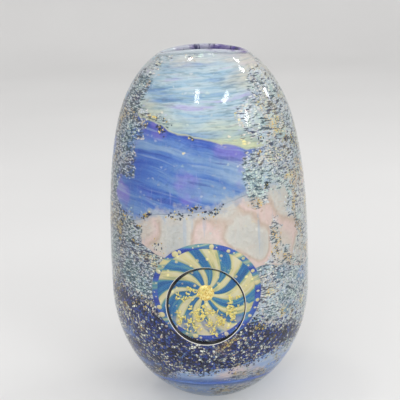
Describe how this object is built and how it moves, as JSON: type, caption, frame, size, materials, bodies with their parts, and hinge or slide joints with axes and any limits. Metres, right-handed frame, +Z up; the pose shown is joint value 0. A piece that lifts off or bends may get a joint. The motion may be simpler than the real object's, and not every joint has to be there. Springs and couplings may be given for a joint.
{
  "type": "art glass vase",
  "caption": "Egg-shaped cased glass vase with a narrow wrapped lip, coloured sweeps, and a round ground window over a medallion of twisted canes.",
  "frame": {"origin": "middle of the ground foot, on the surface that the vase stands on", "axes": "+Z up along the vase, -Y out of the front with the round window, +X to the viewer's right"},
  "size_m": [0.114, 0.1138, 0.2],
  "materials": {
    "clear_glass": "polished clear casing",
    "violet_glass": "fire polished violet-blue thread",
    "trail_glass": "cobalt thread under the casing",
    "bubble_glass": "fire polished, blue-grey opal",
    "overlay_glass": "opaque pale aqua ground",
    "sky_glass": "opaque, streaked sky blue",
    "midnight_glass": "navy frit with bright grains",
    "silver_glass": "silver leaf crackle",
    "opal_glass": "cream and pink opal",
    "cobalt_glass": "streaked cobalt to sky blue",
    "veil_glass": "pearly aqua veil with silver crackle",
    "backing_glass": "opaque cream",
    "collar_glass": "seeded periwinkle ring",
    "blue_cane": "streaked teal-blue cane",
    "cream_cane": "streaked cream cane",
    "gold_leaf": "crumpled gold leaf under glass"
  },
  "bodies": {
    "root": {"clear_casing": "clear_glass", "lip_wrap": "violet_glass", "base_trail": "trail_glass", "inner_bubble": "bubble_glass", "colour_overlay": "overlay_glass", "sky_sweep": "sky_glass", "midnight_sweep": "midnight_glass", "silver_sweep": "silver_glass", "opal_sweep": "opal_glass", "cobalt_sweep": "cobalt_glass", "veil_sweep": "veil_glass", "medallion_backing": "backing_glass", "medallion_collar": "collar_glass", "medallion_blue_canes": "blue_cane", "medallion_cream_canes": "cream_cane", "medallion_centre": "gold_leaf"}
  },
  "joints": []
}
